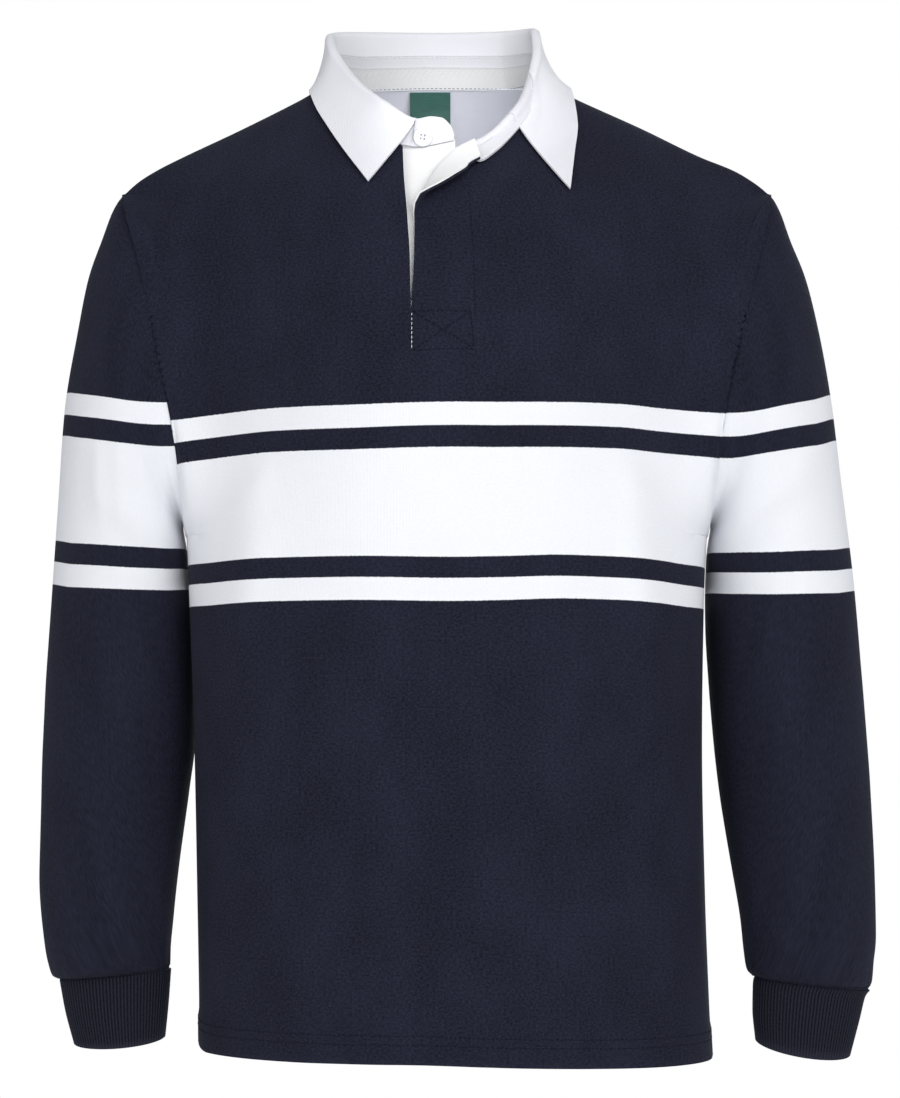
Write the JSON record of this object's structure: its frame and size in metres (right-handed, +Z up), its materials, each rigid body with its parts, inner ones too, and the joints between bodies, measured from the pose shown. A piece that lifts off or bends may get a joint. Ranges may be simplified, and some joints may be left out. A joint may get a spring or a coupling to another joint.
{
  "type": "rugby shirt",
  "caption": "Long-sleeved jersey rugby shirt, hollow and filled out as worn, with a white collar, hidden placket, chest hoops and ribbed cuffs.",
  "frame": {"origin": "middle of the neck at the height of the shoulders' highest point, where the wearer holds the shirt up", "axes": "+Z up, the front faces -Y, +X is the wearer's left"},
  "size_m": [0.6459, 0.2732, 0.8037],
  "materials": {
    "navy_jersey": "matte heavy cotton jersey, navy with white hoops round chest and sleeves",
    "navy_rib": "matte ribbed cotton knit",
    "white_twill": "matte cotton twill with edge stitching",
    "white_band": "matte cotton twill",
    "cream_tape": "herringbone tape",
    "pale_facing": "matte pale grey cotton",
    "placket_drill": "matte cotton drill",
    "green_satin": "woven satin, bare",
    "white_resin": "glossy resin"
  },
  "bodies": {
    "root": {"body_front": "navy_jersey", "body_back": "navy_jersey", "sleeve_right": "navy_jersey", "sleeve_left": "navy_jersey", "cuff_right": "navy_rib", "cuff_left": "navy_rib", "collar_leaf": "white_twill", "collar_stand": "white_band", "neck_tape": "cream_tape", "half_moon": "pale_facing", "label": "green_satin", "placket_underlap": "placket_drill", "placket_facing": "placket_drill", "button": "white_resin"}
  },
  "joints": []
}
